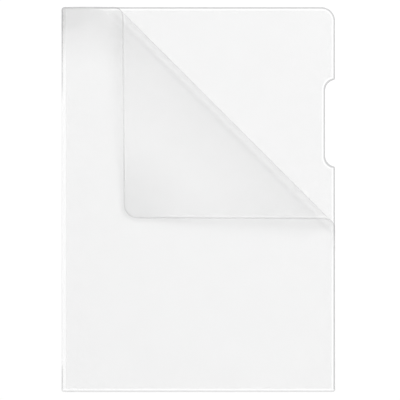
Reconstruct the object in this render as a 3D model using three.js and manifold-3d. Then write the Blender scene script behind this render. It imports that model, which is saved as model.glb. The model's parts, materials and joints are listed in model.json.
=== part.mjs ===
// An L-shaped document folder for A4 paper: one sheet of clear polypropylene film, folded along its
// left side, welded along its bottom, and open at its top and right. The front film's free corner is
// turned back on itself in a soft bend.
//
// Millimetres, +Z up. The folder lies on its back film. The origin is under its middle, +X points
// to its open side and +Y to its open top.
import * as THREE from "three";
import { mergeVertices } from "three/addons/utils/BufferGeometryUtils.js";
import Module from "manifold-3d";

// The whole folder.
const folderWidth = 220;
const folderHeight = 310;
const filmThickness = 0.2;
const pocketHeight = 1; // clear height between the two films

// Its corners: the free one is well rounded, and the three others are only eased.
const freeCornerRadius = 11;
const easedCornerRadius = 2;

// The fold along the left side and the seam along the bottom.
const foldFlange = 3; // film on each side of the fold that belongs to it
const seamWidth = 2;
const beadHeight = 0.7; // melted rim of the seam
const beadWidth = 0.6;
const neckHeight = 0.45; // where the two films are pressed together

// The thumb notch in the back film's free side.
const notchLength = 70;
const notchDepth = 8;
const notchEndRadius = 9;
const notchLipRadius = 1.5;
const notchBelowTop = 93.5; // from the top edge to the middle of the notch

// The front film's free corner, which bends along parallel lines at 45 degrees to its edges.
const turnedLeg = 170; // along either free edge, from the corner to the middle of the bend
const bendRadius = 6.8; // at the middle of the film's thickness
const turnedDegrees = 186; // 180 would lay the corner parallel to the film below it
const bendLines = 9; // lines at which the film turns
const bendLineGap = 0.3; // clearance at each line, across the bend

// How finely round stretches are cut.
const arcSegments = 12;
const stripFacets = 3;

const left = -folderWidth / 2;
const right = folderWidth / 2;
const bottom = -folderHeight / 2;
const top = folderHeight / 2;
const frontUnderside = filmThickness + pocketHeight;
const foldedHeight = frontUnderside + filmThickness;
const aboveEverything = 10 * foldedHeight;

const manifold = await Module();
manifold.setup();

// A closed geometry as a solid that can be cut.
function toSolid(geometry) {
  const bare = geometry.clone();
  bare.deleteAttribute("normal");
  bare.deleteAttribute("uv");
  const merged = mergeVertices(bare, 1e-5);
  return new manifold.Manifold(
    new manifold.Mesh({
      numProp: 3,
      vertProperties: merged.getAttribute("position").array,
      triVerts: new Uint32Array(merged.index.array),
    }),
  );
}

function toGeometry(solid) {
  const mesh = solid.getMesh();
  const geometry = new THREE.BufferGeometry();
  geometry.setAttribute("position", new THREE.BufferAttribute(mesh.vertProperties, 3));
  geometry.setIndex(new THREE.BufferAttribute(mesh.triVerts, 1));
  const faceted = geometry.toNonIndexed();
  faceted.computeVertexNormals();
  return faceted;
}

// A flat outline given a depth upwards from z = 0.
function plate(outline, depth = filmThickness) {
  return new THREE.ExtrudeGeometry(outline, {
    depth,
    bevelEnabled: false,
    curveSegments: arcSegments,
  });
}

// A section drawn in x and z, drawn out along y by the given length, half to each side of y = 0.
function drawnAlongY(section, length) {
  return plate(section, length)
    .translate(0, 0, -length / 2)
    .rotateX(Math.PI / 2);
}

// What is left of a geometry inside an outline seen from above.
function trimmed(geometry, outline) {
  const cutter = plate(outline, 2 * aboveEverything).translate(0, 0, -aboveEverything);
  return toGeometry(toSolid(geometry).intersect(toSolid(cutter)));
}

// The folder seen from above, closed: every edge of both films lies on this outline.
function folderOutline() {
  const free = freeCornerRadius;
  const eased = easedCornerRadius;
  const outline = new THREE.Shape();
  outline.moveTo(left + eased, bottom);
  outline.absarc(right - eased, bottom + eased, eased, -Math.PI / 2, 0);
  outline.absarc(right - free, top - free, free, 0, Math.PI / 2);
  outline.absarc(left + eased, top - eased, eased, Math.PI / 2, Math.PI);
  outline.absarc(left + eased, bottom + eased, eased, Math.PI, 1.5 * Math.PI);
  return outline;
}

// The back film between the fold and its free side, with the thumb notch. Each end of the notch is
// an arc that leaves the notch's floor square and meets a small round lip at the film's edge.
function backFilmOutline() {
  const middle = top - notchBelowTop;
  const endX = right - notchDepth + notchEndRadius;
  const endRise = Math.sqrt(notchEndRadius ** 2 - (notchEndRadius - notchDepth) ** 2);
  const endY = notchLength / 2 - endRise; // of an end's centre, above or below the middle
  const lipX = right - notchLipRadius;
  const lipRise = Math.sqrt((notchEndRadius + notchLipRadius) ** 2 - (endX - lipX) ** 2);
  const lipY = endY + lipRise;
  const lipTurn = Math.atan2(lipRise, endX - lipX);

  const outline = new THREE.Shape();
  outline.moveTo(left + foldFlange, bottom + seamWidth);
  outline.lineTo(right, bottom + seamWidth);
  outline.absarc(lipX, middle - lipY, notchLipRadius, 0, lipTurn);
  outline.absarc(endX, middle - endY, notchEndRadius, Math.PI + lipTurn, Math.PI, true);
  outline.absarc(endX, middle + endY, notchEndRadius, Math.PI, Math.PI - lipTurn, true);
  outline.absarc(lipX, middle + lipY, notchLipRadius, -lipTurn, 0);
  outline.absarc(right - freeCornerRadius, top - freeCornerRadius, freeCornerRadius, 0, Math.PI / 2);
  outline.lineTo(left + foldFlange, top);
  return outline;
}

// The film wraps round the left side in a half turn, with a short flange above and below.
function foldSection() {
  const outerRadius = foldedHeight / 2;
  const innerRadius = pocketHeight / 2;
  const middle = left + outerRadius;
  const flangeEnd = left + foldFlange;
  const section = new THREE.Shape();
  section.moveTo(flangeEnd, foldedHeight);
  section.lineTo(middle, foldedHeight);
  section.absarc(middle, outerRadius, outerRadius, Math.PI / 2, 1.5 * Math.PI);
  section.lineTo(flangeEnd, 0);
  section.lineTo(flangeEnd, filmThickness);
  section.absarc(middle, outerRadius, innerRadius, 1.5 * Math.PI, Math.PI / 2, true);
  section.lineTo(flangeEnd, frontUnderside);
  return section;
}

// The seam from its melted rim, over the neck where the films are pressed together, up to the two
// films of the open pocket. x is measured from the rim into the folder.
function seamSection() {
  const rim = beadWidth / 2;
  const neckStart = beadWidth;
  const section = new THREE.Shape();
  section.moveTo(seamWidth, 0);
  section.lineTo(seamWidth, foldedHeight);
  section.bezierCurveTo(
    (seamWidth + neckStart) / 2, foldedHeight,
    (seamWidth + neckStart) / 2, neckHeight,
    neckStart, neckHeight,
  );
  section.quadraticCurveTo(beadWidth, beadHeight, rim, beadHeight);
  section.quadraticCurveTo(0, beadHeight, 0, beadHeight / 2);
  section.quadraticCurveTo(0, 0, rim, 0);
  return section;
}

// The bend is described in a frame at the free corner whose x runs across the bend, outwards, and
// whose y runs along it. There the two free edges are the lines y = x and y = -x, so at a distance d
// from the corner the film reaches from -d to d.
const stripCount = bendLines - 1;
const stripTurn = THREE.MathUtils.degToRad(turnedDegrees) / stripCount;
const stripWidth = 2 * bendRadius * Math.sin(stripTurn / 2); // straight across the strip's arc
const bendMiddle = turnedLeg / Math.SQRT2;
const bendStart = bendMiddle + (stripCount * stripWidth) / 2;
const bendEnd = bendStart - stripCount * stripWidth;

// The angle at bend line i, between the chords on either side of it. The first and the last line
// join a strip to flat film, so they turn half as far.
const lineTurn = (i) => (i === 1 || i === bendLines ? stripTurn / 2 : stripTurn);

// The front film, from the fold and the seam to the first bend line.
function frontFilmOutline() {
  const cutLeg = (bendStart + bendLineGap / 2) * Math.SQRT2;
  const outline = new THREE.Shape();
  outline.moveTo(left + foldFlange, bottom + seamWidth);
  outline.lineTo(right, bottom + seamWidth);
  outline.lineTo(right, top - cutLeg);
  outline.lineTo(right - cutLeg, top);
  outline.lineTo(left + foldFlange, top);
  return outline;
}

// One strip of the bend, in a frame on its first bend line: an arc of film whose chord lies on x.
function bendStrip(i) {
  const centreHeight = bendRadius * Math.cos(stripTurn / 2);
  const endTurn = Math.asin((stripWidth / 2 - bendLineGap / 2) / bendRadius);
  const outer = bendRadius + filmThickness / 2;
  const inner = bendRadius - filmThickness / 2;
  const along = (reach, share) => {
    const angle = endTurn * share;
    return new THREE.Vector2(
      stripWidth / 2 + reach * Math.sin(angle),
      centreHeight - reach * Math.cos(angle),
    );
  };
  const shares = Array.from({ length: stripFacets + 1 }, (_, k) => (2 * k) / stripFacets - 1);
  const section = new THREE.Shape([
    ...shares.map((share) => along(outer, share)),
    ...shares.reverse().map((share) => along(inner, share)),
  ]);

  const toCorner = bendStart - (i - 1) * stripWidth;
  const corner = new THREE.Shape();
  corner.moveTo(toCorner, 0);
  corner.lineTo(-toCorner, 2 * toCorner);
  corner.lineTo(-toCorner, -2 * toCorner);
  return trimmed(drawnAlongY(section, 3 * toCorner), corner);
}

// The flat corner beyond the bend, in a frame on the last bend line.
function turnedCornerOutline() {
  const start = bendLineGap / 2;
  const halfStart = bendEnd - start;
  const arcCentre = bendEnd - freeCornerRadius * Math.SQRT2;
  const arcStart = freeCornerRadius * Math.SQRT1_2; // half the width of the film at the arc
  const outline = new THREE.Shape();
  outline.moveTo(start, -halfStart);
  outline.lineTo(bendEnd - arcStart, -arcStart);
  outline.absarc(arcCentre, 0, freeCornerRadius, -Math.PI / 4, Math.PI / 4);
  outline.lineTo(start, halfStart);
  return outline;
}

const filmLook = { color: 0xf1f3f4, roughness: 0.38, metalness: 0, transparent: true };
const backLook = new THREE.MeshStandardMaterial({ ...filmLook, opacity: 0.5 });
const frontLook = new THREE.MeshStandardMaterial({ ...filmLook, opacity: 0.5 });
const foldLook = new THREE.MeshStandardMaterial({ ...filmLook, roughness: 0.3, opacity: 0.7 });
const seamLook = new THREE.MeshStandardMaterial({ ...filmLook, roughness: 0.45, opacity: 0.8 });

function piece(name, geometry, look) {
  const mesh = new THREE.Mesh(geometry, look);
  mesh.name = name;
  return mesh;
}

function pocket() {
  const group = new THREE.Group();
  const back = piece("back_film", plate(backFilmOutline()), backLook);

  const front = piece("front_film", plate(frontFilmOutline()), frontLook);
  front.position.z = frontUnderside;

  const foldLength = folderHeight - seamWidth;
  const foldFilm = drawnAlongY(foldSection(), foldLength).translate(0, seamWidth / 2, 0);
  const fold = piece("left_fold", trimmed(foldFilm, folderOutline()), foldLook);

  const seamFilm = drawnAlongY(seamSection(), folderWidth)
    .rotateZ(Math.PI / 2)
    .translate(0, bottom, 0);
  const seam = piece("bottom_seam", trimmed(seamFilm, folderOutline()), seamLook);

  group.add(back, front, fold, seam);
  return group;
}

// The bending strips and the corner, each turned on the line where it meets the one before it.
function turnedBackCorner() {
  const group = new THREE.Group();
  group.position.set(right, top, frontUnderside + filmThickness / 2);
  group.rotation.z = Math.PI / 4;

  let line = new THREE.Group();
  line.position.x = -bendStart;
  group.add(line);
  for (let i = 1; i <= bendLines; i++) {
    line.rotation.y = -lineTurn(i);
    if (i < bendLines) {
      const number = String(i).padStart(2, "0");
      line.add(piece(`bend_strip_${number}`, bendStrip(i), frontLook));
      const next = new THREE.Group();
      next.position.x = stripWidth;
      line.add(next);
      line = next;
    }
  }
  const corner = piece("turned_corner", plate(turnedCornerOutline()), frontLook);
  corner.position.z = -filmThickness / 2;
  line.add(corner);
  return group;
}

const folder = new THREE.Group();
folder.add(pocket(), turnedBackCorner());

export default folder;
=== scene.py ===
"""Looks of an L-shaped document folder made from one sheet of clear polypropylene film.

The folder lies on its back film on a white table, seen from straight above. The front film's free
corner is turned back over a round bend. Lengths are in metres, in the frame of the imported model.
"""

import json
import logging
import math
from dataclasses import dataclass
from enum import Enum
from typing import Any, Callable, Mapping, Sequence, Union

import bpy
import numpy as np
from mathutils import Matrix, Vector

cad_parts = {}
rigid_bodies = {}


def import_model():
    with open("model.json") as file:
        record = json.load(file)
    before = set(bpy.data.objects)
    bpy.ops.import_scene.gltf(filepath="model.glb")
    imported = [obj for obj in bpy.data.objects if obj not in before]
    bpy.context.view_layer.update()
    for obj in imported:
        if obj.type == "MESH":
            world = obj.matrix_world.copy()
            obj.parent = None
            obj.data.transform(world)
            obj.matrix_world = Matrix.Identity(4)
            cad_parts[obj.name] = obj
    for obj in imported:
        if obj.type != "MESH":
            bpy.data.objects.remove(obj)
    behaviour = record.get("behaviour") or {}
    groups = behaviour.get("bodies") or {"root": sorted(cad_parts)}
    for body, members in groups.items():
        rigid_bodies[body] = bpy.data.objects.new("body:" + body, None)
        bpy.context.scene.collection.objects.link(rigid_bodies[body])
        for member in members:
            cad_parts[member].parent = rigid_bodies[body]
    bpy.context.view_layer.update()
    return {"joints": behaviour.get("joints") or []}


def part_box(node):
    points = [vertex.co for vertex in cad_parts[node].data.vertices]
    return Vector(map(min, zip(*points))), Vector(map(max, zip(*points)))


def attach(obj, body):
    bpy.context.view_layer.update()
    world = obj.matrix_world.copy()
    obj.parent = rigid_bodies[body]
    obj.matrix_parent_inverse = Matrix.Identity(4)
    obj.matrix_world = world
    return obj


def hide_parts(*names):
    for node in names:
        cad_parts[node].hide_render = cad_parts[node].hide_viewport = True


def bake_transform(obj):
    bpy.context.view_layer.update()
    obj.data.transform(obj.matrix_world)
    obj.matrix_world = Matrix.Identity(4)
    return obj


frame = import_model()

MM = 0.001
HALF_ROOT = math.sqrt(0.5)
SHORTEST_NORMAL = 1e-12
SHEET = "sheet"
SHARP_EDGE = math.radians(50)

# A Mix node's colour sockets share their names with its other sockets, so they go by number.
MIX_LOW, MIX_HIGH, MIX_RESULT = 6, 7, 2

log = logging.getLogger("folder")

Number = Union[int, float]
Source = Union["Value", Number]
Span = tuple[float, float]
Colour = tuple[float, float, float]
Paint = Union[Colour, bpy.types.NodeSocket]


class Slot(Enum):
    """The record's material slots."""

    BACK = "back_film"
    FRONT = "front_film"
    FOLD = "fold"
    SEAM = "seam"


class Body(Enum):
    """The moving bodies at either end of the bend."""

    POCKET = "pocket"
    CORNER = "corner"


# Shader maths


class Value:
    """A shader socket that carries a number, with Python's arithmetic on it."""

    def __init__(self, graph: "Graph", socket: bpy.types.NodeSocket) -> None:
        """Wraps one output socket of a graph."""
        self.graph = graph
        self.socket = socket

    def __add__(self, other: Source) -> "Value":
        """self + other."""
        return self.graph.math("ADD", self, other)

    __radd__ = __add__

    def __sub__(self, other: Source) -> "Value":
        """self - other."""
        return self.graph.math("SUBTRACT", self, other)

    def __rsub__(self, other: Source) -> "Value":
        """other - self."""
        return self.graph.math("SUBTRACT", other, self)

    def __mul__(self, other: Source) -> "Value":
        """self * other."""
        return self.graph.math("MULTIPLY", self, other)

    __rmul__ = __mul__

    def __pow__(self, other: Source) -> "Value":
        """self to the power of other."""
        return self.graph.math("POWER", self, other)

    def __abs__(self) -> "Value":
        """The value without its sign."""
        return self.graph.math("ABSOLUTE", self)

    def least(self, other: Source) -> "Value":
        """The smaller of the two."""
        return self.graph.math("MINIMUM", self, other)

    def most(self, other: Source) -> "Value":
        """The larger of the two."""
        return self.graph.math("MAXIMUM", self, other)

    def rise(self, low: float, high: float) -> "Value":
        """A smooth step.

        Args:
            low: value at which the step leaves 0.
            high: value at which it reaches 1.

        Returns:
            The step as a value from 0 to 1.
        """
        node = self.graph.node(
            "ShaderNodeMapRange",
            {"interpolation_type": "SMOOTHSTEP"},
            {"Value": self, "From Min": low, "From Max": high},
        )
        return Value(self.graph, node.outputs["Result"])

    def fall(self, low: float, high: float) -> "Value":
        """A smooth step from 1 at low down to 0 at high."""
        return 1 - self.rise(low, high)


class Graph:
    """The node tree of one material or world."""

    def __init__(self, tree: bpy.types.NodeTree) -> None:
        """Empties the tree."""
        self.tree = tree
        tree.nodes.clear()

    def node(
        self,
        kind: str,
        settings: Mapping[str, Any] | None = None,
        inputs: Mapping[Union[str, int], Any] | None = None,
    ) -> bpy.types.Node:
        """Adds one node.

        Args:
            kind: the node's Blender type.
            settings: properties that are set before the sockets.
            inputs: a number, colour, Value or output socket for each input, by name or index.

        Returns:
            The new node.
        """
        made = self.tree.nodes.new(kind)
        for name, setting in (settings or {}).items():
            setattr(made, name, setting)
        for key, given in (inputs or {}).items():
            socket = made.inputs[key]
            if isinstance(given, Value):
                self.tree.links.new(given.socket, socket)
            elif isinstance(given, bpy.types.NodeSocket):
                self.tree.links.new(given, socket)
            else:
                socket.default_value = given
        return made

    def math(self, operation: str, *terms: Source) -> Value:
        """One Math node on the terms."""
        made = self.node("ShaderNodeMath", {"operation": operation}, dict(enumerate(terms)))
        return Value(self, made.outputs[0])

    def root_of_squares(self, a: Value, b: Value) -> Value:
        """The length of a vector with the two parts a and b."""
        return (a * a + b * b) ** 0.5

    def blend(self, share: Value, low: Paint, high: Paint) -> bpy.types.NodeSocket:
        """Mixes two colours.

        Args:
            share: 0 for the first colour and 1 for the second.
            low: the first colour, as red, green, blue, or a socket.
            high: the second colour, likewise.

        Returns:
            The mixed colour's socket.
        """
        made = self.node("ShaderNodeMix", {"data_type": "RGBA"}, {"Factor": share})
        for index, given in ((MIX_LOW, low), (MIX_HIGH, high)):
            if isinstance(given, bpy.types.NodeSocket):
                self.tree.links.new(given, made.inputs[index])
            else:
                made.inputs[index].default_value = (*given, 1)
        return made.outputs[MIX_RESULT]

    def finish(self, shader: bpy.types.Node) -> None:
        """Links a shader to the tree's output.

        Args:
            shader: the node whose first output is the shader.
        """
        kind = "ShaderNodeOutputWorld" if isinstance(
            self.tree.id_data, bpy.types.World
        ) else "ShaderNodeOutputMaterial"
        out = self.node(kind)
        self.tree.links.new(shader.outputs[0], out.inputs["Surface"])


# The flat film


@dataclass(frozen=True)
class Plan:
    """The outline that both films were cut to, as seen from above with the folder closed."""

    left: float
    right: float
    bottom: float
    top: float
    free_radius: float = 11 * MM
    eased_radius: float = 2 * MM
    notch_length: float = 70 * MM
    notch_depth: float = 8 * MM
    notch_end_radius: float = 9 * MM
    notch_lip_radius: float = 1.5 * MM
    notch_below_top: float = 93.5 * MM
    even_rows: int = 74
    arc_steps: int = 14
    closest_rows: float = 0.02 * MM

    @classmethod
    def from_frame(cls) -> "Plan":
        """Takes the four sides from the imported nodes.

        Returns:
            The outline round them.
        """
        return cls(
            left=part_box("left_fold")[0].x,
            right=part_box("back_film")[1].x,
            bottom=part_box("bottom_seam")[0].y,
            top=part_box("back_film")[1].y,
        )

    @property
    def notch_middle(self) -> float:
        """Height of the notch's middle."""
        return self.top - self.notch_below_top

    def corner_inset(self, from_end: float, radius: float) -> float:
        """How far a rounded corner draws a side in.

        Args:
            from_end: distance along the side from the outline's end.
            radius: the corner's radius.

        Returns:
            The distance from the side's line to the outline.
        """
        into = max(0.0, min(radius, radius - from_end))
        return radius - math.sqrt(max(0.0, radius**2 - into**2))

    def notch_ends(self) -> tuple[float, float, float]:
        """The notch's end arcs.

        Returns:
            Distances from the notch's middle to an end arc's centre, to the point where that arc
            meets the lip, and to the centre of the lip.
        """
        overhang = self.notch_end_radius - self.notch_depth
        centre = self.notch_length / 2 - math.sqrt(self.notch_end_radius**2 - overhang**2)
        reach = self.notch_end_radius + self.notch_lip_radius
        across = overhang + self.notch_lip_radius
        rise = math.sqrt(reach**2 - across**2)
        contact = centre + rise * self.notch_end_radius / reach
        return centre, contact, centre + rise

    def notch_inset(self, y: float) -> float:
        """How far the thumb notch draws the right side in.

        Args:
            y: a height up the sheet.

        Returns:
            The distance from the side's line to the notch, which is 0 above and below it.
        """
        off = abs(y - self.notch_middle)
        centre, contact, lip = self.notch_ends()
        if off >= lip:
            return 0.0
        if off >= contact:
            over = lip - off
            return self.notch_lip_radius - math.sqrt(self.notch_lip_radius**2 - over**2)
        over = max(0.0, off - centre)
        overhang = self.notch_end_radius - self.notch_depth
        return math.sqrt(self.notch_end_radius**2 - over**2) - overhang

    def right_at(self, y: float, notched: bool) -> float:
        """The outline's right side.

        Args:
            y: a height up the sheet.
            notched: whether the film has the thumb notch.

        Returns:
            The side's place across the sheet at that height.
        """
        inset = max(
            self.corner_inset(self.top - y, self.free_radius),
            self.corner_inset(y - self.bottom, self.eased_radius),
        )
        if notched:
            inset = max(inset, self.notch_inset(y))
        return self.right - inset

    def heights(self, low: float, high: float, notched: bool) -> list[float]:
        """Heights at which a film needs a row of vertices.

        Args:
            low: lowest row.
            high: highest row.
            notched: whether the film has the thumb notch.

        Returns:
            The heights, rising, closer together where the outline curves.
        """
        fine = [math.radians(90 * k / self.arc_steps) for k in range(self.arc_steps + 1)]
        coarse = fine[::2]
        rows = list(np.linspace(low, high, self.even_rows))
        rows += [self.top - self.free_radius * (1 - math.sin(a)) for a in fine]
        rows += [self.top - self.eased_radius * (1 - math.sin(a)) for a in coarse]
        rows += [self.bottom + self.eased_radius * (1 - math.sin(a)) for a in coarse]
        if notched:
            centre, contact, lip = self.notch_ends()
            steps = [0.0] + [centre + (contact - centre) * math.sin(a) for a in fine]
            steps += [lip - (lip - contact) * (1 - math.sin(a)) for a in coarse]
            rows += [self.notch_middle + side * step for side in (-1, 1) for step in steps]
        kept: list[float] = []
        for y in sorted(row for row in rows if low <= row <= high):
            if not kept or y - kept[-1] > self.closest_rows:
                kept.append(y)
        kept[-1] = high
        return kept


@dataclass(frozen=True)
class Bend:
    """The round bend, on parallel lines at 45 degrees to the film's edges.

    Across the bend, d is the flat distance from the free corner, u the same distance in space,
    counted outwards from that corner, and z the height. Along it, s is counted towards the top.
    """

    plan: Plan
    start: float
    height: float
    radius: float
    turn: float
    lines: tuple[Vector, ...]
    strips: tuple[str, ...]

    @classmethod
    def from_frame(cls, plan: Plan) -> "Bend":
        """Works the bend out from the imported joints.

        Args:
            plan: the flat film.

        Returns:
            The bend through every joint's axis.
        """
        joints = frame["joints"]
        lines = tuple(Vector(joint["pos_m"]) for joint in joints)
        turn = math.radians(sum(joint["range_deg"][1] for joint in joints))
        first, last = lines[0], lines[-1]
        start = (plan.right - first.x + plan.top - first.y) * HALF_ROOT
        radius = (last.z - first.z) / (1 - math.cos(turn))
        strips = tuple([joints[0]["parent"]] + [joint["child"] for joint in joints])
        return cls(plan, start, first.z, radius, turn, lines, strips)

    @property
    def end(self) -> float:
        """Where the bend ends.

        Returns:
            The flat distance from the free corner to the last line.
        """
        count = len(self.lines) - 1
        chord = 2 * self.radius * math.sin(self.turn / count / 2)
        return self.start - count * chord

    def section(self, angle: float) -> tuple[float, float, float]:
        """The film's middle inside the bend.

        Args:
            angle: how far the film has turned there.

        Returns:
            d, u and z.
        """
        share = angle / self.turn
        return (
            self.start + (self.end - self.start) * share,
            -self.start + self.radius * math.sin(angle),
            self.height + self.radius * (1 - math.cos(angle)),
        )

    def in_space(self, u: float, s: float, z: float) -> tuple[float, float, float]:
        """A point across and along the bend, in the frame of the model."""
        x, y = self.plan.right + (u - s) * HALF_ROOT, self.plan.top + (u + s) * HALF_ROOT
        return x, y, z

    def on_sheet(self, d: float, s: float) -> tuple[float, float]:
        """The same film point's place in the plan, with the folder closed."""
        x, y, _ = self.in_space(-d, s, 0.0)
        return x, y

    def half_width(self, d: float) -> float:
        """Half the film's width along the bend.

        Args:
            d: flat distance from the free corner.

        Returns:
            The half width there, which the rounded corner makes smaller near the end.
        """
        radius = self.plan.free_radius
        if d >= radius * HALF_ROOT:
            return d
        into = radius * math.sqrt(2) - d
        return math.sqrt(max(0.0, radius**2 - into**2))


@dataclass
class Patch:
    """A stretch of film as a grid: rows go up the sheet and columns to its right."""

    middle: np.ndarray
    sheet: np.ndarray

    def normals(self) -> np.ndarray:
        """Which way the film's front faces.

        Returns:
            A direction of length 1 for each point of the grid.
        """
        along = np.gradient(self.middle, axis=1)
        up = np.gradient(self.middle, axis=0)
        found = np.cross(along, up)
        return found / np.maximum(np.linalg.norm(found, axis=2, keepdims=True), SHORTEST_NORMAL)


@dataclass(frozen=True)
class Film:
    """Film of one thickness, made into a mesh with its cut edges."""

    thickness: float = 0.2 * MM

    def build(
        self, name: str, patch: Patch, closed: tuple[bool, bool, bool, bool]
    ) -> bpy.types.Object:
        """Makes a film piece.

        Args:
            name: the piece's name.
            patch: its grid.
            closed: whether its lower, upper, left and right border is a cut edge, which gets a
                wall. The others join the next stretch of film.

        Returns:
            The object, in place.
        """
        rows, columns = patch.middle.shape[:2]
        offset = patch.normals() * (self.thickness / 2)
        points = np.concatenate(
            [(patch.middle + offset).reshape(-1, 3), (patch.middle - offset).reshape(-1, 3)]
        )
        under = rows * columns
        grid = np.arange(under).reshape(rows, columns)
        faces: list[tuple[int, ...]] = []
        for r in range(rows - 1):
            for c in range(columns - 1):
                quad = (grid[r, c], grid[r, c + 1], grid[r + 1, c + 1], grid[r + 1, c])
                faces.append(tuple(int(i) for i in quad))
                faces.append(tuple(int(i) + under for i in reversed(quad)))
        borders = (grid[0, ::-1], grid[-1, :], grid[:, 0], grid[::-1, -1])
        for border, is_closed in zip(borders, closed):
            if is_closed:
                faces += [
                    (int(a), int(b), int(b) + under, int(a) + under)
                    for a, b in zip(border[:-1], border[1:])
                ]
        return mesh_piece(name, points, faces, np.concatenate([patch.sheet.reshape(-1, 2)] * 2))


def mesh_piece(
    name: str, vertices: Sequence, faces: Sequence, sheet: Sequence
) -> bpy.types.Object:
    """Makes one mesh object.

    Args:
        name: its name.
        vertices: its points.
        faces: its faces, as rows of point numbers.
        sheet: each point's place on the flat film.

    Returns:
        The object, with smooth faces, sharp edges at its corners, and the places as an attribute.
    """
    mesh = bpy.data.meshes.new(name)
    mesh.from_pydata([tuple(p) for p in vertices], [], faces)
    place = mesh.attributes.new(SHEET, "FLOAT_VECTOR", "POINT")
    flat = np.zeros((len(vertices), 3), np.float32)
    flat[:, :2] = sheet
    place.data.foreach_set("vector", flat.ravel())
    mesh.polygons.foreach_set("use_smooth", [True] * len(mesh.polygons))
    mesh.set_sharp_from_angle(angle=SHARP_EDGE)
    mesh.validate()
    piece = bpy.data.objects.new(name, mesh)
    bpy.context.scene.collection.objects.link(piece)
    return piece


def smooth(value: float, low: float, high: float) -> float:
    """A smooth step from 0 at low to 1 at high."""
    t = max(0.0, min(1.0, (value - low) / (high - low)))
    return t * t * (3 - 2 * t)


# Finishes


@dataclass(frozen=True)
class FilmPoint:
    """Where a shaded point lies on the flat film, in millimetres, as shader values."""

    graph: Graph
    plan: Plan
    place: bpy.types.NodeSocket
    x: Value
    y: Value

    @classmethod
    def from_graph(cls, graph: Graph, plan: Plan) -> "FilmPoint":
        """Reads the place that each mesh carries.

        Args:
            graph: the material's graph.
            plan: the flat film.

        Returns:
            The shaded point.
        """
        place = graph.node("ShaderNodeAttribute", {"attribute_name": SHEET}).outputs["Vector"]
        parts = graph.node("ShaderNodeSeparateXYZ", None, {0: place})
        x, y = (Value(graph, parts.outputs[k]) * (1 / MM) for k in (0, 1))
        return cls(graph, plan, place, x, y)

    @property
    def from_left(self) -> Value:
        """Distance from the fold's side."""
        return self.x - self.plan.left / MM

    @property
    def from_right(self) -> Value:
        """Distance from the free side."""
        return self.plan.right / MM - self.x

    @property
    def from_top(self) -> Value:
        """Distance from the open top."""
        return self.plan.top / MM - self.y

    @property
    def from_bottom(self) -> Value:
        """Distance from the seam's edge."""
        return self.y - self.plan.bottom / MM

    @property
    def from_corner(self) -> Value:
        """Distance from the point where the free side and the top would meet."""
        return self.graph.root_of_squares(self.from_right, self.from_top)

    @property
    def across(self) -> Value:
        """Distance from that point, counted at right angles to the bend."""
        return (self.plan.right / MM - self.x + self.plan.top / MM - self.y) * HALF_ROOT


@dataclass(frozen=True)
class Marks:
    """Where the film's painted shade and painted highlight fade in or out, in millimetres.

    A name that ends in start or end is counted across the bend, from its start beside the flat
    film or its end beside the turned corner. The rim of painted shade and the two sides of the
    painted highlight, the glint, are counted from the nearest edge, the fold line and the painted
    shade at the fold's top from the fold's side, the turned edge and the painted shade along the
    free side from the free side, and the painted shade at the corner from the free corner.
    """

    rim: Span = (0.8, 1.5)
    glint_near: Span = (1.1, 1.6)
    glint_far: Span = (2.0, 3.0)
    plain_below_top: Span = (20.0, 60.0)
    fold_line: Span = (0.5, 1.1)
    fold_line_below_top: Span = (60.0, 78.0)
    fold_line_above_seam: Span = (16.0, 25.0)
    flat_from_start: Span = (0.0, 12.0)
    edge_from_corner: Span = (16.0, 42.0)
    turned_edge: Span = (4.0, 8.0)
    crest_from_end: Span = (-5.0, 6.0)
    crest_from_start: Span = (-8.0, 2.0)
    turned_before_end: float = 6.0
    bend_shade_from_end: Span = (-54.0, 2.0)
    bend_shade_from_start: Span = (-6.0, 3.0)
    corner_shade: Span = (8.0, 78.0)
    side_shade: Span = (0.0, 48.0)
    side_shade_from_corner: Span = (30.0, 75.0)
    side_shade_from_end: Span = (-8.0, 0.0)
    top_shade_depth: float = 48.0
    top_shade_from_start: Span = (-4.0, 6.0)
    crease_shade: Span = (0.0, 26.0)
    crease_shade_below_top: Span = (0.0, 24.0)


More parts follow.
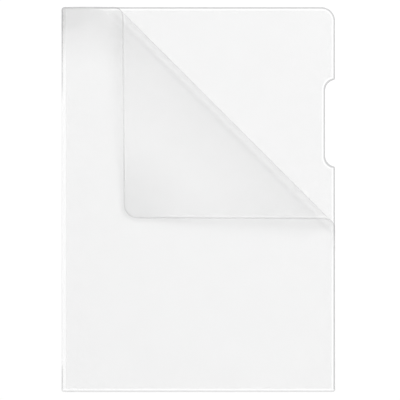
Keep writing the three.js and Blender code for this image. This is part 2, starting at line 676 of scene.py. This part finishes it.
@dataclass(frozen=True)
class FilmFinish:
    """Clear polypropylene film with a fine grain, painted greyer as shade across the bend, at the
    turned corner and near the top, with painted shade along its cut edges and a painted highlight
    beside them.

    Each opacity is the share of light that the film stops, and each weight of painted shade is how
    grey and opaque that shade makes the film.
    """

    name: str
    plan: Plan
    bend: Bend
    notched: bool = False
    turned: bool = False
    marks: Marks = Marks()
    opacity: float = 0.04
    turned_opacity: float = 0.06
    # Of the opacities below, the rim ones darken the cut edge as painted shade, the next two
    # belong to the painted shade on the bend and the turned corner, and the glint ones make the
    # painted highlight beside the edge.
    rim_opacity: float = 0.20
    flat_rim_opacity: float = 0.20
    shade_opacity: float = 0.24
    crest_opacity: float = 0.085
    glint_opacity: float = 0.25
    glint_clearness: float = 0.4
    most_opacity: float = 0.95
    # Weights of the painted shade, which makes the film greyer and more opaque: on the bend's
    # crest, across the bend, at the turned corner, near its free side, near the top and by the
    # fold at the top.
    crest_shade: float = 0.9
    bend_shade: float = 0.33
    corner_shade: float = 0.68
    side_shade: float = 0.2
    top_shade: float = 1.15
    crease_shade: float = 0.67
    tint: Colour = (0.96, 0.961, 0.963)
    # Painted shade: the grey that the film turns to across the bend, at the turned corner and near
    # the top.
    shade_tint: Colour = (0.74, 0.741, 0.743)
    # Painted shade on the bend's crest, darker still.
    crest: Colour = (0.61, 0.611, 0.613)
    # Painted shade along the cut edge.
    rim: Colour = (0.34, 0.34, 0.345)
    # Painted highlight beside the cut edge.
    glint: Colour = (0.98, 0.98, 0.98)
    refraction: float = 1.49
    roughness: float = 0.50
    slant_power: float = 5.0
    crest_calm: float = 0.65
    clouds_per_metre: float = 26.0
    clouds_in_opacity: float = 0.15
    clouds_in_shade: float = 0.25
    clouds_in_roughness: float = 0.12
    pebble: float = 0.35 * MM
    pebble_height: float = 0.02 * MM
    pebble_strength: float = 0.35

    def bend_start(self, span: Span) -> Span:
        """A span counted from the bend's start, made into distances from the free corner."""
        return tuple(self.bend.start / MM + distance for distance in span)

    def bend_end(self, span: Span) -> Span:
        """A span counted from the bend's end, made into distances from the free corner."""
        return tuple(self.bend.end / MM + distance for distance in span)

    def edge_distance(self, at: FilmPoint) -> Value:
        """Distance from the nearest cut or welded edge.

        Args:
            at: the shaded point.

        Returns:
            The distance in millimetres.
        """
        plan = self.plan
        radius = plan.free_radius / MM
        over_x = (at.x - (plan.right / MM - radius)).most(0)
        over_y = (at.y - (plan.top / MM - radius)).most(0)
        edge = (radius - at.graph.root_of_squares(over_x, over_y)).least(at.from_bottom)
        if self.notched:
            depth = plan.notch_depth / MM
            straight = plan.notch_length / 2 / MM - depth
            off = (abs(at.y - plan.notch_middle / MM) - straight).most(0)
            edge = edge.least(at.graph.root_of_squares(at.from_right, off) - depth)
        return edge

    def fold_line(self, at: FilmPoint) -> Value:
        """The dark line that shows at both ends of the fold.

        Args:
            at: the shaded point.

        Returns:
            1 on the line and 0 elsewhere.
        """
        near_top = at.from_top.fall(*self.marks.fold_line_below_top)
        near_seam = at.from_bottom.fall(*self.marks.fold_line_above_seam)
        return at.from_left.fall(*self.marks.fold_line) * (near_top + near_seam)

    def crest_share(self, at: FilmPoint) -> Value:
        """1 on the bend's crest and 0 on flat film."""
        inner = at.across.rise(*self.bend_end(self.marks.crest_from_end))
        return inner * at.across.fall(*self.bend_start(self.marks.crest_from_start))

    def turned_share(self, at: FilmPoint) -> Value:
        """1 on the turned corner and 0 on the flat film."""
        near = self.bend.end / MM - self.marks.turned_before_end
        return at.across.fall(near, self.bend.start / MM)

    def painted_shade(self, at: FilmPoint) -> Value:
        """Painted shade: where the film is made greyer and more opaque, across the bend, at the
        turned corner, near its free side, near the top of the flat film and by the fold at the
        top.

        Args:
            at: the shaded point.

        Returns:
            The painted shade, from 0 to about 1.
        """
        marks, across, corner = self.marks, at.across, at.from_corner
        bend = across.rise(*self.bend_end(marks.bend_shade_from_end))
        bend = bend * across.fall(*self.bend_start(marks.bend_shade_from_start))
        side = at.from_right.fall(*marks.side_shade) * corner.rise(*marks.side_shade_from_corner)
        side = side * across.fall(*self.bend_end(marks.side_shade_from_end))
        top = (1 - at.from_top * (1 / marks.top_shade_depth)).most(0)
        top = across.rise(*self.bend_start(marks.top_shade_from_start)) * top
        crease = at.from_left.fall(*marks.crease_shade)
        crease = crease * at.from_top.fall(*marks.crease_shade_below_top)
        return (
            bend * self.bend_shade
            + side * self.side_shade
            + corner.fall(*marks.corner_shade) * self.corner_shade
            + top * self.top_shade
            + crease * self.crease_shade
        )

    def inner_film(self, at: FilmPoint, cloud: Value) -> tuple[Value, Paint]:
        """The film without what its edges show.

        Args:
            at: the shaded point.
            cloud: the film's slow unevenness, around 0.

        Returns:
            Its opacity and its colour.
        """
        opacity = self.opacity * (1 + cloud * self.clouds_in_opacity)
        if not self.turned:
            return opacity, self.tint
        opacity = opacity + self.turned_share(at) * self.turned_opacity
        # Painted shade: the film goes greyer and more opaque where the painted shade lies, and
        # darker still on the bend's crest.
        shade_share = (self.painted_shade(at) * (1 + cloud * self.clouds_in_shade)).least(1)
        crest = self.crest_share(at)
        opacity = opacity + shade_share * self.shade_opacity + crest * self.crest_opacity
        colour = at.graph.blend(shade_share, self.tint, self.shade_tint)
        return opacity, at.graph.blend(crest * self.crest_shade, colour, self.crest)

    def edged_film(self, at: FilmPoint, cloud: Value) -> tuple[Value, bpy.types.NodeSocket]:
        """The film with painted shade along its cut edge, a painted highlight beside it and the
        fold's dark line.

        Args:
            at: the shaded point.
            cloud: the film's slow unevenness, around 0.

        Returns:
            Its opacity and its colour.
        """
        marks = self.marks
        edge = self.edge_distance(at)
        # Painted shade along the cut edge, joined with the fold's dark line.
        dark = edge.fall(*marks.rim).most(self.fold_line(at))
        flat = at.across.rise(*self.bend_start(marks.flat_from_start))
        # Painted highlight: a pale, clearer line beside the cut edge, left off the flat film near
        # the top.
        glint = edge.rise(*marks.glint_near) * edge.fall(*marks.glint_far)
        glint = glint * (1 - flat * at.from_top.fall(*marks.plain_below_top))
        dark_opacity: Source = self.rim_opacity
        glint_opacity: Source = 0.0
        if self.turned:
            beyond_corner = at.from_corner.rise(*marks.edge_from_corner)
            turned = beyond_corner * (1 - flat)
            dark_opacity = turned * self.rim_opacity + flat * self.flat_rim_opacity
            glint = glint * beyond_corner
            # Along the turned corner's free side the painted highlight is also whiter and more
            # opaque.
            glint_opacity = turned * at.from_right.fall(*marks.turned_edge) * self.glint_opacity
        opacity, colour = self.inner_film(at, cloud)
        opacity = opacity * (1 - glint * self.glint_clearness) + dark * dark_opacity
        opacity = opacity + glint * glint_opacity
        colour = at.graph.blend(glint, colour, self.glint)
        return opacity, at.graph.blend(dark, colour, self.rim)

    def side_alpha(self, at: FilmPoint, opacity: Value) -> Value:
        """Alpha of one of the film's two sides.

        Args:
            at: the shaded point.
            opacity: opacity of both sides together.

        Returns:
            The alpha, which rises where the film is seen at a slant, though less on the crest.
        """
        facing = at.graph.node("ShaderNodeLayerWeight", None, {"Blend": 0.5}).outputs["Facing"]
        slant = Value(at.graph, facing) ** self.slant_power
        if self.turned:
            slant = slant * (1 - self.crest_share(at) * self.crest_calm)
        return 1 - (1 - opacity.least(self.most_opacity)) ** 0.5 * (1 - slant)

    def pebbles(self, at: FilmPoint) -> bpy.types.NodeSocket:
        """The film's pebbled grain.

        Args:
            at: the shaded point.

        Returns:
            The grain's normal.
        """
        noise = at.graph.node(
            "ShaderNodeTexNoise",
            None,
            {"Vector": at.place, "Scale": 1 / self.pebble, "Detail": 1.0, "Roughness": 0.4},
        )
        bump = at.graph.node(
            "ShaderNodeBump",
            None,
            {
                "Strength": self.pebble_strength,
                "Distance": self.pebble_height,
                "Height": noise.outputs[0],
            },
        )
        return bump.outputs[0]

    def material(self) -> bpy.types.Material:
        """Builds the film's material.

        Returns:
            The material, which is see-through wherever its alpha is below 1.
        """
        made = bpy.data.materials.new(self.name)
        made.use_nodes = True
        graph = Graph(made.node_tree)
        at = FilmPoint.from_graph(graph, self.plan)
        clouds = graph.node(
            "ShaderNodeTexNoise",
            None,
            {"Vector": at.place, "Scale": self.clouds_per_metre, "Detail": 3.0},
        )
        cloud = Value(graph, clouds.outputs[0]) - 0.5
        opacity, colour = self.edged_film(at, cloud)
        shader = graph.node(
            "ShaderNodeBsdfPrincipled",
            None,
            {
                "Base Color": colour,
                "Roughness": self.roughness + cloud * self.clouds_in_roughness,
                "IOR": self.refraction,
                "Alpha": self.side_alpha(at, opacity),
                "Normal": self.pebbles(at),
            },
        )
        graph.finish(shader)
        return made


@dataclass(frozen=True)
class TableFinish:
    """A white table top that shows as white and still takes the folder's shadow."""

    name: str = "white_table"
    glow: float = 0.19
    shown: float = 0.80
    plain: float = 0.80

    def material(self) -> bpy.types.Material:
        """Builds the table's material.

        Returns:
            The material, which glows a little where it is seen and not where it lights the film.
        """
        made = bpy.data.materials.new(self.name)
        made.use_nodes = True
        graph = Graph(made.node_tree)
        seen = seen_directly(graph)
        shown = graph.node("ShaderNodeBsdfDiffuse", None, {"Color": (*[self.shown] * 3, 1)})
        glow = graph.node("ShaderNodeEmission", None, {"Strength": self.glow})
        plain = graph.node("ShaderNodeBsdfDiffuse", None, {"Color": (*[self.plain] * 3, 1)})
        both = graph.node(
            "ShaderNodeAddShader", None, {0: shown.outputs[0], 1: glow.outputs[0]}
        )
        mixed = graph.node(
            "ShaderNodeMixShader", None, {0: seen, 1: plain.outputs[0], 2: both.outputs[0]}
        )
        graph.finish(mixed)
        return made


def seen_directly(graph: Graph) -> Value:
    """Tells what is seen from what only lights the folder.

    Args:
        graph: the graph of a material or world.

    Returns:
        1 for rays from the camera, or from it by way of gloss or glass, and 0 for others.
    """
    path = graph.node("ShaderNodeLightPath")
    camera, glossy, through = (
        Value(graph, path.outputs[name])
        for name in ("Is Camera Ray", "Is Glossy Ray", "Is Transmission Ray")
    )
    return (camera + glossy + through).least(1)


# The folder's pieces


def dress(piece: bpy.types.Object, finish: bpy.types.Material) -> None:
    """Gives a piece its finish and reports it.

    Args:
        piece: the mesh object.
        finish: its material.
    """
    piece.data.materials.clear()
    piece.data.materials.append(finish)
    log.info("%s: %d faces", piece.name, len(piece.data.polygons))


@dataclass(frozen=True)
class Wave:
    """One gentle wave in the film: its share of the height, and its turns in radians per metre."""

    share: float
    across: float
    up: float
    phase: float

    def at(self, x: float, y: float) -> float:
        """The wave at a place on the sheet."""
        return self.share * math.sin(x * self.across + y * self.up + self.phase)


@dataclass
class Pocket:
    """The back film, the fold and the flat stretch of the front film."""

    plan: Plan
    bend: Bend
    film: Film
    flange: float = 3 * MM
    seam: float = 2 * MM
    columns: int = 56
    border_columns: tuple[float, ...] = (0.3 * MM, 0.8 * MM, 1.5 * MM, 2.6 * MM)
    border_room: float = 1.4
    fold_rows: int = 60
    fold_arc_steps: int = 24
    fold_flat_steps: int = 3
    waves: tuple[Wave, ...] = (
        Wave(0.5, 21, 9, 0.4),
        Wave(0.35, -12, 27, 1.9),
        Wave(0.15, 47, 33, 0.0),
    )
    wave_middle: float = 1.1
    wave_height: float = 0.55 * MM
    calm_by_fold: float = 50 * MM
    calm_by_seam: float = 60 * MM
    calm_by_bend: float = 50 * MM
    drawn_height: float = 1.1 * MM
    drawn_from_top: float = 75 * MM
    fully_drawn_from_top: float = 20 * MM
    drawn_beyond_fold: float = 16 * MM
    drawn_beyond_bend: float = 12 * MM

    def film_patch(
        self, z: float, right_at: Callable[[float], float], notched: bool, lift: Callable
    ) -> Patch:
        """A film from the fold to its right border.

        Args:
            z: height of the film's middle.
            right_at: the film's right at a height up the sheet.
            notched: whether it has the thumb notch.
            lift: how far the film rises at a place on the sheet.

        Returns:
            The film's grid.
        """
        left = self.plan.left + self.flange
        rows = self.plan.heights(self.plan.bottom + self.seam, self.plan.top, notched)
        middle, sheet = [], []
        for y in rows:
            places = self.column_places(left, right_at(y))
            middle.append([(x, y, z + lift(x, y)) for x in places])
            sheet.append([(x, y) for x in places])
        return Patch(np.array(middle), np.array(sheet))

    def column_places(self, left: float, right: float) -> list[float]:
        """Places of the columns across a film, which stand closer at its right border."""
        inner = np.linspace(left, right - self.border_columns[-1] * self.border_room, self.columns)
        return list(inner) + [right - r for r in reversed(self.border_columns)] + [right]

    def front_right(self, y: float) -> float:
        """Right border of the front film's flat stretch: its free side, then the bend's start."""
        start = self.plan.right + self.plan.top - y - self.bend.start / HALF_ROOT
        return min(self.plan.right_at(y, False), start)

    def front_lift(self, x: float, y: float) -> float:
        """How far the front film stands up from its lowest place.

        Args:
            x: place across the sheet.
            y: place up the sheet.

        Returns:
            The rise, which is level with the fold, the seam and the bend where it meets them.
        """
        plan = self.plan
        from_fold = x - plan.left - self.flange
        from_seam = y - plan.bottom - self.seam
        across = (plan.right - x + plan.top - y) * HALF_ROOT - self.bend.start
        free = smooth(from_fold, 0, self.calm_by_fold)
        free *= smooth(from_seam, 0, self.calm_by_seam)
        free *= smooth(across, 0, self.calm_by_bend)
        wave = sum((one.at(x, y) for one in self.waves), self.wave_middle)
        drawn = smooth(y, plan.top - self.drawn_from_top, plan.top - self.fully_drawn_from_top)
        drawn *= smooth(from_fold, 0, self.drawn_beyond_fold)
        drawn *= smooth(across, 0, self.drawn_beyond_bend)
        return free * wave * self.wave_height + drawn * self.drawn_height

    def fold_patch(self, back: float, front: float) -> Patch:
        """The film round the fold.

        Args:
            back: height of the back film's middle.
            front: height of the front film's middle.

        Returns:
            The fold's grid, with the back film at its right.
        """
        radius = (front - back) / 2
        centre_x = self.plan.left + self.film.thickness / 2 + radius
        centre_z = (front + back) / 2
        end = self.plan.left + self.flange
        flat = np.linspace(end, centre_x, self.fold_flat_steps + 1)
        profile = [(x, front) for x in flat[:-1]]
        for k in range(self.fold_arc_steps + 1):
            angle = math.pi / 2 + math.pi * k / self.fold_arc_steps
            profile.append(
                (centre_x + radius * math.cos(angle), centre_z + radius * math.sin(angle))
            )
        profile += [(x, back) for x in np.linspace(centre_x, end, self.fold_flat_steps + 1)[1:]]
        middle, sheet = [], []
        for t in np.linspace(0, 1, self.fold_rows):
            row = []
            for x, z in profile:
                inset = self.plan.corner_inset(x - self.plan.left, self.plan.eased_radius)
                low, high = self.plan.bottom + self.seam, self.plan.top - inset
                row.append((x, low + (high - low) * t, z))
            middle.append(row)
            sheet.append([(x, y) for x, y, _ in row])
        return Patch(np.array(middle), np.array(sheet))

    def build(
        self, front: bpy.types.Material, back: bpy.types.Material, fold: bpy.types.Material
    ) -> None:
        """Makes and dresses both films and the fold.

        Args:
            front: finish of the front film.
            back: finish of the back film.
            fold: finish of the fold.
        """
        back_z = sum(corner.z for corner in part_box("back_film")) / 2
        front_z = sum(corner.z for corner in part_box("front_film")) / 2
        under = self.film.build(
            "back_sheet",
            self.film_patch(
                back_z, lambda y: self.plan.right_at(y, True), True, lambda x, y: 0.0
            ),
            (False, True, False, True),
        )
        over = self.film.build(
            "front_sheet",
            self.film_patch(front_z, self.front_right, False, self.front_lift),
            (False, True, False, True),
        )
        crease = self.film.build(
            "spine_crease", self.fold_patch(back_z, front_z), (False, True, False, False)
        )
        for piece, node, finish, slot in (
            (under, "back_film", back, Slot.BACK),
            (over, "front_film", front, Slot.FRONT),
            (crease, "left_fold", fold, Slot.FOLD),
        ):
            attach(piece, Body.POCKET.value)
            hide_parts(node)
            dress(piece, finish)


@dataclass
class BottomSeam:
    """The weld along the bottom: both films run together into a neck and a round bead."""

    plan: Plan
    width: float = 2 * MM
    bead_height: float = 0.7 * MM
    bead_width: float = 0.6 * MM
    neck_height: float = 0.45 * MM
    neck_steps: int = 12
    neck_overrun: float = 0.15
    bead_step: int = 10
    bead_start: int = 30
    bead_end: int = 270
    under_middle: float = 0.6
    columns: int = 120

    def section(self, height: float) -> list[tuple[float, float]]:
        """The seam's outline seen from its end.

        Args:
            height: height of the front film's upper side.

        Returns:
            Distances in from the bottom edge and heights, from the front film round the bead to
            the back film.
        """
        outline = []
        for k in range(self.neck_steps + 1):
            t = k / self.neck_steps
            inward = smooth(t, -self.neck_overrun, 1 + self.neck_overrun)
            run = self.width + (self.bead_width - self.width) * inward
            outline.append((run, height + (self.neck_height - height) * smooth(t, 0, 1)))
        outline[0], outline[-1] = (self.width, height), (self.bead_width, self.neck_height)
        half = self.bead_width / 2
        middle = self.bead_height / 2
        for degrees in range(self.bead_start, self.bead_end + 1, self.bead_step):
            angle = math.radians(degrees)
            outline.append((half + half * math.cos(angle), middle + middle * math.sin(angle)))
        under = (self.bead_width, self.width * self.under_middle, self.width)
        return outline + [(run, 0.0) for run in under]

    def build(self, finish: bpy.types.Material) -> None:
        """Makes and dresses the seam.

        Args:
            finish: the seam's finish.
        """
        outline = self.section(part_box("front_film")[1].z)
        vertices, faces = [], []
        for run, z in outline:
            inset = self.plan.corner_inset(max(0.0, run), self.plan.eased_radius)
            left, right = self.plan.left + inset, self.plan.right - inset
            y = self.plan.bottom + run
            vertices += [(x, y, z) for x in np.linspace(left, right, self.columns)]
        for r in range(len(outline) - 1):
            for c in range(self.columns - 1):
                a = r * self.columns + c
                faces.append((a, a + self.columns, a + self.columns + 1, a + 1))
        first = [r * self.columns for r in range(len(outline))]
        faces.append(tuple(reversed(first)))
        faces.append(tuple(i + self.columns - 1 for i in first))
        piece = mesh_piece("bottom_weld", vertices, faces, [(x, y) for x, y, _ in vertices])
        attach(piece, Body.POCKET.value)
        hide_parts("bottom_seam")
        dress(piece, finish)


@dataclass
class TurnedCorner:
    """The bend in the front film and the corner beyond it."""

    plan: Plan
    bend: Bend
    film: Film
    steps: int = 14
    along: int = 60
    end_share: float = 0.02
    calm_by_bend: float = 50 * MM
    wave_height: float = 0.5 * MM
    wave_turns: float = 52.0
    wave_phase: float = 1.1
    calm_middle: float = 30 * MM
    sag_height: float = 0.7 * MM
    sag: Span = (30 * MM, 110 * MM)
    corner_rows: int = 62
    tip_start: float = 0.75
    tip_steps: int = 16
    closest_rows: float = 0.2 * MM
    tip_half_width: float = 0.02 * MM

    def bend_patch(self, start: float, end: float) -> Patch:
        """A stretch of the bend between two angles of turn.

        Args:
            start: how far the film has turned where the stretch begins.
            end: how far it has turned where the stretch ends.

        Returns:
            The grid, with rows along the bend and columns across it.
        """
        low, high = self.end_share, 1 - self.end_share
        shares = [0.0, low] + list(np.linspace(low, high, self.steps))[1:-1] + [high, 1.0]
        angles = [start + (end - start) * share for share in shares]
        middle, sheet = [], []
        for share in np.linspace(-1, 1, self.along):
            row, flat = [], []
            for angle in angles:
                d, u, z = self.bend.section(angle)
                row.append(self.bend.in_space(u, share * d, z))
                flat.append(self.bend.on_sheet(d, share * d))
            middle.append(row)
            sheet.append(flat)
        return Patch(np.array(middle), np.array(sheet))

    def droop(self, t: float, s: float) -> float:
        """How far the turned corner leaves its plane, towards the side that the front faces.

        Args:
            t: flat distance beyond the last bend line.
            s: place along the bend.

        Returns:
            The distance, level with the bend where it meets it.
        """
        ripple = math.sin(s * self.wave_turns + self.wave_phase)
        wave = (1 + ripple * smooth(abs(s), 0, self.calm_middle)) / 2
        drop = wave * self.wave_height + smooth(t, *self.sag) * self.sag_height
        return smooth(t, 0, self.calm_by_bend) * drop

    def corner_patch(self) -> Patch:
        """The corner beyond the bend, out to its rounded end.

        Returns:
            The grid, with rows along the bend and columns across it.
        """
        bend = self.bend
        _, u_end, z_end = bend.section(bend.turn)
        cos_turn, sin_turn = math.cos(bend.turn), math.sin(bend.turn)
        radius = self.plan.free_radius
        straight = list(np.linspace(bend.end, radius * self.tip_start, self.corner_rows))
        tip = [
            radius * (math.sqrt(2) - math.cos(math.radians(45 * k / self.tip_steps)))
            for k in reversed(range(self.tip_steps))
        ]
        tip = [d for d in tip if d < straight[-1] - self.closest_rows]
        middle, sheet = [], []
        for share in np.linspace(-1, 1, self.along):
            row, flat = [], []
            for d in straight + tip:
                t, s = bend.end - d, share * max(bend.half_width(d), self.tip_half_width)
                down = self.droop(t, s)
                u = u_end + t * cos_turn - down * sin_turn
                z = z_end + t * sin_turn + down * cos_turn
                row.append(bend.in_space(u, s, z))
                flat.append(bend.on_sheet(d, s))
            middle.append(row)
            sheet.append(flat)
        return Patch(np.array(middle), np.array(sheet))

    def build(self, film: bpy.types.Material) -> None:
        """Makes and dresses the bend and the corner.

        Args:
            film: the front film's finish.
        """
        bend = self.bend
        count = len(bend.lines)
        per_strip = bend.turn / (count - 1)
        for k in range(count):
            start = max(0.0, (k - 0.5) * per_strip)
            end = min(bend.turn, (k + 0.5) * per_strip)
            piece = self.film.build(
                f"bend_{k + 1}", self.bend_patch(start, end), (True, True, False, False)
            )
            before, after = bend.strips[k], bend.strips[k + 1]
            ends = [bend.in_space(u, 0.0, z) for _, u, z in map(bend.section, (start, end))]
            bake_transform(piece)
            if after != Body.CORNER.value:
                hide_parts("bend_" + after)
            dress(piece, film)
        corner = self.film.build(
            "turned_corner_film", self.corner_patch(), (True, True, False, True)
        )
        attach(corner, Body.CORNER.value)
        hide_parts("turned_corner")
        dress(corner, film)


# The studio


@dataclass(frozen=True)
class Studio:
    """A white table, a large soft lamp above it, and a camera that looks straight down."""

    shown_width: float = 322.4 * MM
    aim: tuple[float, float] = (1.2 * MM, -0.4 * MM)
    lens: float = 100.0
    sensor: float = 36.0
    lamp_watts: float = 361.0
    lamp_side: float = 3.84
    lamp_place: tuple[float, float, float] = (3.2, 3.2, 4.96)
    sky: float = 0.66
    table_reach: float = 4.0
    table_drop: float = 0.05 * MM
    clear_bounces: int = 32

    def table(self) -> None:
        """Lays the table just under the folder."""
        mesh = bpy.data.meshes.new("table_top")
        reach, z = self.table_reach, -self.table_drop
        corners = [(-reach, -reach, z), (reach, -reach, z), (reach, reach, z), (-reach, reach, z)]
        mesh.from_pydata(corners, [], [(0, 1, 2, 3)])
        top = bpy.data.objects.new("table_top", mesh)
        bpy.context.scene.collection.objects.link(top)
        mesh.materials.append(TableFinish().material())

    def lamps(self) -> None:
        """Hangs the lamp and sets the sky."""
        light = bpy.data.lights.new("soft_lamp", "AREA")
        light.shape = "SQUARE"
        light.size = self.lamp_side
        light.energy = self.lamp_watts
        lamp = bpy.data.objects.new("soft_lamp", light)
        lamp.location = self.lamp_place
        lamp.rotation_euler = (-Vector(self.lamp_place)).to_track_quat("-Z", "Y").to_euler()
        bpy.context.scene.collection.objects.link(lamp)
        world = bpy.data.worlds.new("studio")
        world.use_nodes = True
        bpy.context.scene.world = world
        graph = Graph(world.node_tree)
        level = self.sky + (1 - self.sky) * seen_directly(graph)
        graph.finish(graph.node("ShaderNodeBackground", None, {"Strength": level}))

    def camera(self) -> None:
        """Hangs the camera over the folder."""
        data = bpy.data.cameras.new("camera")
        data.lens = self.lens
        data.sensor_width = self.sensor
        data.dof.use_dof = False
        camera = bpy.data.objects.new("camera", data)
        camera.location = (*self.aim, self.shown_width * self.lens / self.sensor)
        bpy.context.scene.collection.objects.link(camera)
        bpy.context.scene.camera = camera

    def build(self) -> None:
        """Sets up the whole studio."""
        self.table()
        self.lamps()
        self.camera()
        bpy.context.scene.view_settings.view_transform = "Standard"
        # Light and sight each cross three films, and a film has two sides.
        bpy.context.scene.cycles.transparent_max_bounces = self.clear_bounces


def main() -> None:
    """Builds the studio, the finishes and the folder."""
    logging.basicConfig(level=logging.INFO, format="%(name)s %(message)s")
    Studio().build()
    plan = Plan.from_frame()
    bend = Bend.from_frame(plan)
    film = Film()
    front = FilmFinish(
        "front_film_finish",
        plan,
        bend,
        turned=True,
        opacity=0.012,
        rim_opacity=0.11,
        flat_rim_opacity=0.0,
    ).material()
    back = FilmFinish(
        "back_film_finish",
        plan,
        bend,
        notched=True,
        opacity=0.27,
        rim_opacity=0.085,
        # The same film as the front film, given a darker tint: painted shade.
        tint=(0.78, 0.781, 0.783),
    ).material()
    fold = FilmFinish(
        "fold_finish",
        plan,
        bend,
        turned=True,
        opacity=0.09,
        flat_rim_opacity=0.14,
        # The same film as the front film, given a darker tint: painted shade.
        tint=(0.84, 0.841, 0.843),
        rim=(0.50, 0.50, 0.505),
    ).material()
    seam = FilmFinish("seam_finish", plan, bend, opacity=0.08, rim_opacity=0.14).material()
    Pocket(plan, bend, film).build(front, back, fold)
    BottomSeam(plan).build(seam)
    TurnedCorner(plan, bend, film).build(front)


if __name__ == "__main__":
    main()
